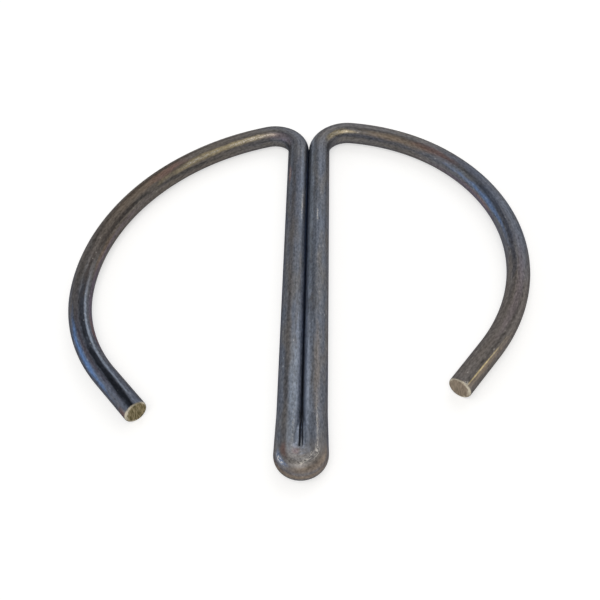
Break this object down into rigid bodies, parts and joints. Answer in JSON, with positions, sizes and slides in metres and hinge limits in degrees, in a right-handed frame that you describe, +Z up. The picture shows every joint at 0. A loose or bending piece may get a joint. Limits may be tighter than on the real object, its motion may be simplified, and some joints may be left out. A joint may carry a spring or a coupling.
{
  "type": "socket retaining ring",
  "caption": "Round spring wire folded back into a straight tongue, its ends curved round as arms that grip an impact socket's groove while the tongue pins the socket to its drive.",
  "frame": {"origin": "on the plane that the ring lies on, under the middle of the fold's bend at the tongue's free end", "axes": "+Y along the tongue from its fold to its shoulders, +Z up and square to the ring's plane, +X to the right"},
  "size_m": [0.0559, 0.0574, 0.0028],
  "materials": {
    "spring_wire": "dark oil-tempered spring steel, satin, with heat tints and fine draw marks"
  },
  "bodies": {
    "root": {"retaining_ring": "spring_wire"}
  },
  "joints": []
}
